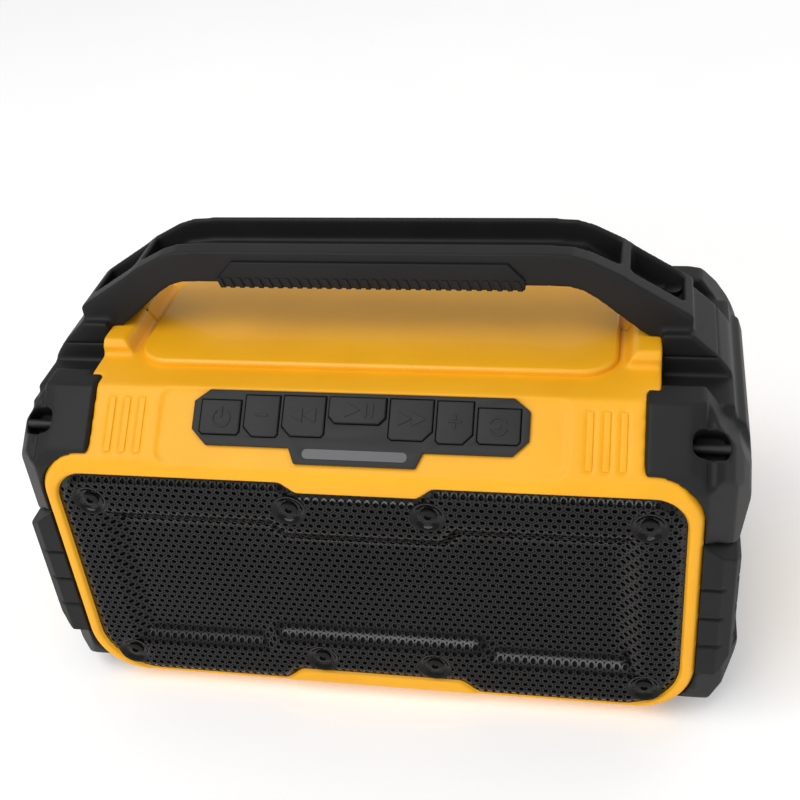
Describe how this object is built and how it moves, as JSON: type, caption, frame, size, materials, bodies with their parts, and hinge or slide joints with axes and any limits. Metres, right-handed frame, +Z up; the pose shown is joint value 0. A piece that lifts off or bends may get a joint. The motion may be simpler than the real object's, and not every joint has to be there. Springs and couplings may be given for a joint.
{
  "type": "portable wireless speaker",
  "caption": "Rugged yellow and black portable wireless speaker with a channel-section carry handle, perforated front grille, sloped keypad, strap eyes and a hinged rear port cover.",
  "frame": {"origin": "on the ground plane under the middle of the overall box", "axes": "+X to the right seen from the front, +Y to the back, +Z up; the grille faces -Y"},
  "size_m": [0.261, 0.1348, 0.1653],
  "materials": {
    "yellow_shell": "satin moulded",
    "black_plastic": "fine spark texture",
    "black_rubber": "matt",
    "key_rubber": "matt",
    "black_metal": "gloss paint",
    "steel": "plated",
    "cloth": "woven",
    "light_window": "frosted",
    "board": "solder resist",
    "part_plastic": "plain",
    "ferrite": "sintered",
    "cone_pulp": "coated",
    "cell_sleeve": "shrink sleeve"
  },
  "bodies": {
    "housing": {"front_housing": "yellow_shell", "rear_housing": "yellow_shell", "housing_gasket": "black_rubber", "deck_plate": "yellow_shell", "left_end_cap": "black_plastic", "right_end_cap": "black_plastic", "left_front_bumper": "black_rubber", "right_front_bumper": "black_rubber", "left_rear_bumper": "black_rubber", "right_rear_bumper": "black_rubber", "left_corner_guard": "black_plastic", "right_corner_guard": "black_plastic", "strap_bars": "black_metal", "handle": "black_plastic", "handle_grip": "black_rubber", "handle_screws": "steel", "front_grille": "black_metal", "grille_cloth": "cloth", "grille_screws": "black_metal", "keypad": "black_rubber", "light_bar": "light_window", "control_board": "board", "tact_switches": "part_plastic", "left_basket": "black_metal", "left_motor": "ferrite", "left_surround": "black_rubber", "right_basket": "black_metal", "right_motor": "ferrite", "right_surround": "black_rubber", "driver_gaskets": "black_rubber", "driver_screws": "steel", "main_board": "board", "board_screws": "steel", "battery_cells": "cell_sleeve", "battery_holder": "black_plastic", "charge_socket": "steel", "audio_socket": "part_plastic", "usb_socket": "steel", "card_socket": "steel", "port_door_pin": "steel", "housing_screws": "steel", "feet": "black_rubber", "speaker_leads": "part_plastic", "battery_lead": "part_plastic", "keypad_ribbon": "part_plastic"},
    "power_key": {"power_button": "key_rubber"},
    "volume_down_key": {"volume_down_button": "key_rubber"},
    "previous_key": {"previous_button": "key_rubber"},
    "play_key": {"play_button": "key_rubber"},
    "next_key": {"next_button": "key_rubber"},
    "volume_up_key": {"volume_up_button": "key_rubber"},
    "pairing_key": {"pairing_button": "key_rubber"},
    "left_diaphragm": {"left_cone": "cone_pulp"},
    "right_diaphragm": {"right_cone": "cone_pulp"},
    "port_cover": {"port_door": "black_plastic"}
  },
  "joints": [
    {"name": "power_press", "type": "slide", "parent": "housing", "child": "power_key", "axis": [0, 0.6428, -0.766], "range_m": [0, 0.0008], "stiffness_N_per_m": 1500},
    {"name": "volume_down_press", "type": "slide", "parent": "housing", "child": "volume_down_key", "axis": [0, 0.6428, -0.766], "range_m": [0, 0.0008], "stiffness_N_per_m": 1500},
    {"name": "previous_press", "type": "slide", "parent": "housing", "child": "previous_key", "axis": [0, 0.6428, -0.766], "range_m": [0, 0.0008], "stiffness_N_per_m": 1500},
    {"name": "play_press", "type": "slide", "parent": "housing", "child": "play_key", "axis": [0, 0.6428, -0.766], "range_m": [0, 0.0008], "stiffness_N_per_m": 1500},
    {"name": "next_press", "type": "slide", "parent": "housing", "child": "next_key", "axis": [0, 0.6428, -0.766], "range_m": [0, 0.0008], "stiffness_N_per_m": 1500},
    {"name": "volume_up_press", "type": "slide", "parent": "housing", "child": "volume_up_key", "axis": [0, 0.6428, -0.766], "range_m": [0, 0.0008], "stiffness_N_per_m": 1500},
    {"name": "pairing_press", "type": "slide", "parent": "housing", "child": "pairing_key", "axis": [0, 0.6428, -0.766], "range_m": [0, 0.0008], "stiffness_N_per_m": 1500},
    {"name": "left_cone_stroke", "type": "slide", "parent": "housing", "child": "left_diaphragm", "axis": [0, -1, 0], "range_m": [-0.0015, 0.0015], "stiffness_N_per_m": 1200, "deforming": ["left_surround"]},
    {"name": "right_cone_stroke", "type": "slide", "parent": "housing", "child": "right_diaphragm", "axis": [0, -1, 0], "range_m": [-0.0015, 0.0015], "stiffness_N_per_m": 1200, "deforming": ["right_surround"]},
    {"name": "port_cover_hinge", "type": "hinge", "parent": "housing", "child": "port_cover", "pos_m": [0, 0.0653, 0.0235], "axis": [-1, 0, 0], "range_deg": [0, 100]}
  ]
}
